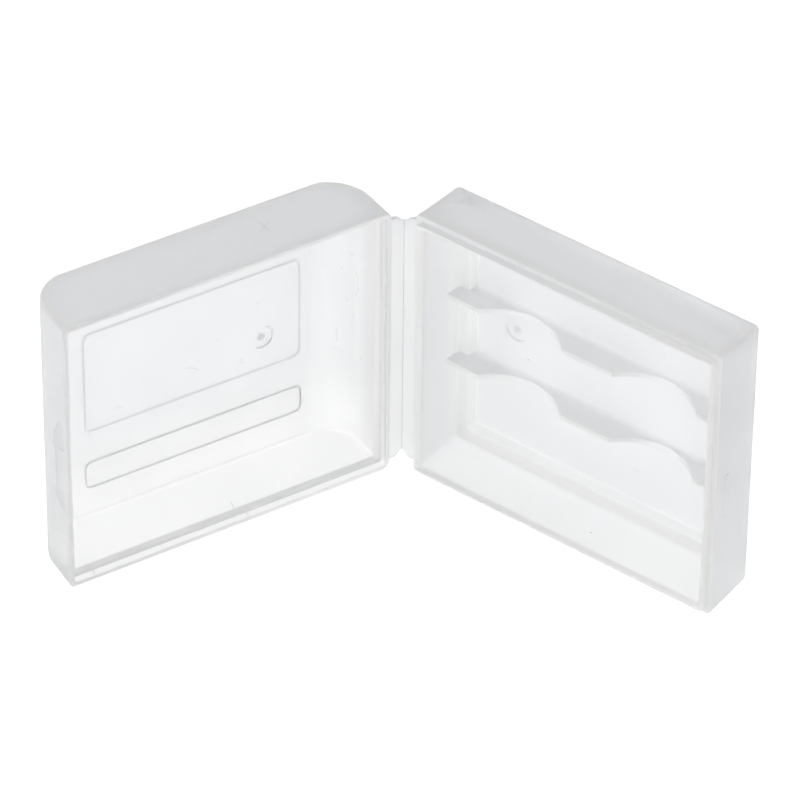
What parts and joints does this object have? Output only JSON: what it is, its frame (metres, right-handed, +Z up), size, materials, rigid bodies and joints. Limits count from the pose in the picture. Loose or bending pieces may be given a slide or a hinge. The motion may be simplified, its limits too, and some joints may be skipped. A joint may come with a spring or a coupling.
{
  "type": "hinged two-cell battery storage case",
  "caption": "Small translucent moulded clamshell case with a thin living hinge, scalloped cradle ribs in its base and a rounded snap-over lid, standing part open on its end.",
  "frame": {"origin": "centre of the footprint of the open case, on the surface it stands on", "axes": "+X along the base half's width, away from the hinge; +Y from the base's mouth to its back; +Z up, along the hinge"},
  "size_m": [0.0744, 0.0538, 0.041],
  "materials": {
    "clear_natural_plastic": "translucent natural polypropylene, fine satin",
    "thin_natural_plastic": "thinner, clearer natural polypropylene at the hinge"
  },
  "bodies": {
    "base": {"base_back_panel": "clear_natural_plastic", "base_bottom_wall": "clear_natural_plastic", "base_top_wall": "clear_natural_plastic", "base_hinge_side_wall": "clear_natural_plastic", "base_free_side_wall": "clear_natural_plastic", "base_closure_tongue": "clear_natural_plastic", "base_floor_border": "clear_natural_plastic", "base_lower_cradle_rib": "clear_natural_plastic", "base_upper_cradle_rib": "clear_natural_plastic", "base_grip_bar": "clear_natural_plastic", "base_hinge_flange": "thin_natural_plastic", "living_hinge_web": "thin_natural_plastic"},
    "lid": {"lid_closure_skirt": "clear_natural_plastic", "lid_bottom_wall": "clear_natural_plastic", "lid_top_wall": "clear_natural_plastic", "lid_hinge_side_wall": "clear_natural_plastic", "lid_free_side_wall": "clear_natural_plastic", "lid_face_panel": "clear_natural_plastic", "lid_plain_bar": "clear_natural_plastic", "lid_catch_bead": "clear_natural_plastic", "lid_hinge_flange": "thin_natural_plastic"}
  },
  "joints": [
    {"name": "lid_hinge", "type": "hinge", "parent": "base", "child": "lid", "pos_m": [-0.01142, 0.01819, 0.0205], "axis": [0, 0, 1], "range_deg": [-68.7, 111.3], "deforming": ["living_hinge_web"]}
  ]
}
